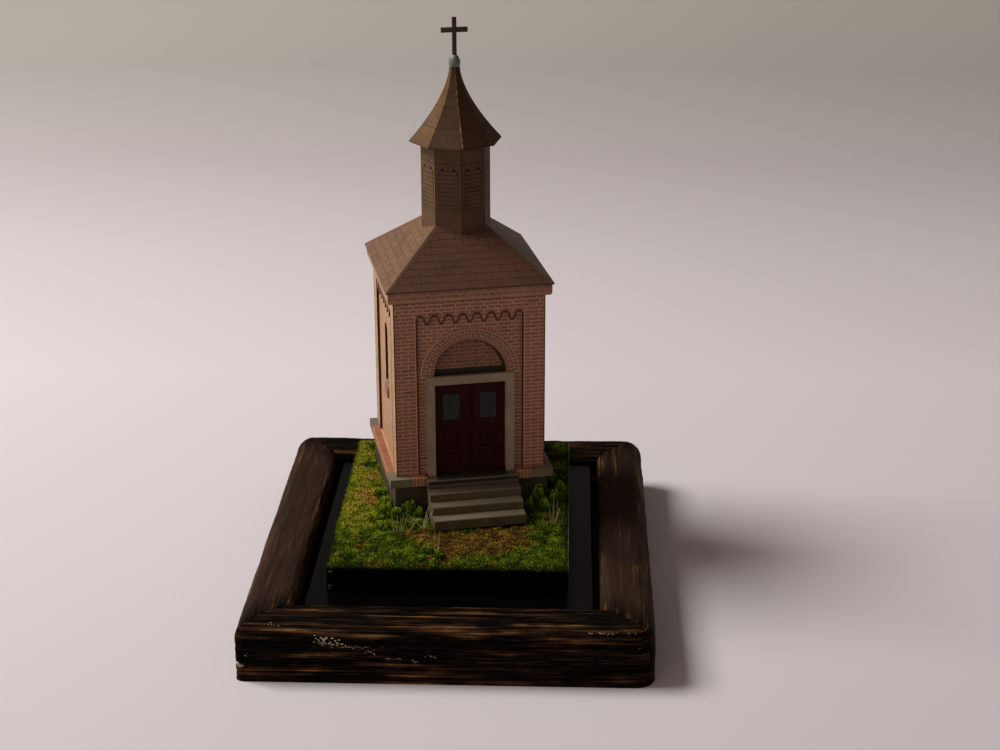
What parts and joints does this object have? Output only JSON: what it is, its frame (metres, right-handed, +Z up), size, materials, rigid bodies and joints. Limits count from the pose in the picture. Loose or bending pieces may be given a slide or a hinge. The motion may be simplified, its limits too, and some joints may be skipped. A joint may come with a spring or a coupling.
{
  "type": "scale model of a chapel on a wooden stand",
  "caption": "Small brick chapel model with arched doorway, hipped roof, octagonal louvred turret, flared spire and cross, set on turf on a moulded wooden display stand",
  "frame": {"origin": "middle of the underside of the stand, on the surface it stands on", "axes": "+Z up, +X to the right seen from the front, the stand's front faces -Y"},
  "size_m": [0.1, 0.116, 0.1442],
  "materials": {
    "rail_wood": "rubbed black paint over brown wood",
    "black_wood": "gloss black paint",
    "ledge_wood": "satin black paint",
    "turf": "flocked turf",
    "brick_card": "matt brick card",
    "stone_card": "matt stone card",
    "roof_card": "matt tile card",
    "turret_card": "matt boarded card",
    "door_card": "satin oxblood red",
    "window_card": "satin dark",
    "finial_metal": "grey green paint",
    "cross_metal": "dark paint"
  },
  "bodies": {
    "root": {"arch_ring": "brick_card", "back_frame": "brick_card", "back_wall": "brick_card", "brick_course_back": "brick_card", "brick_course_front_left": "brick_card", "brick_course_front_right": "brick_card", "brick_course_left": "brick_card", "brick_course_right": "brick_card", "corner_stone_back_left": "stone_card", "corner_stone_back_right": "stone_card", "corner_stone_front_left": "stone_card", "corner_stone_front_right": "stone_card", "cornice": "brick_card", "cross": "cross_metal", "door_leaf_left": "door_card", "door_leaf_right": "door_card", "door_surround": "stone_card", "finial": "finial_metal", "foundation": "stone_card", "front_frame": "brick_card", "front_wall": "brick_card", "groundwork": "turf", "left_frame": "brick_card", "left_wall": "brick_card", "right_frame": "brick_card", "right_wall": "brick_card", "roof": "roof_card", "sill_left": "stone_card", "sill_right": "stone_card", "spire": "turret_card", "stand_base_board": "ledge_wood", "stand_block": "black_wood", "stand_ledge": "ledge_wood", "stand_rail_back": "rail_wood", "stand_rail_front": "rail_wood", "stand_rail_left": "rail_wood", "stand_rail_right": "rail_wood", "step_lower": "stone_card", "step_middle": "stone_card", "step_upper": "stone_card", "threshold": "stone_card", "turret": "turret_card", "tympanum": "brick_card", "window_left": "window_card", "window_right": "window_card"}
  },
  "joints": []
}
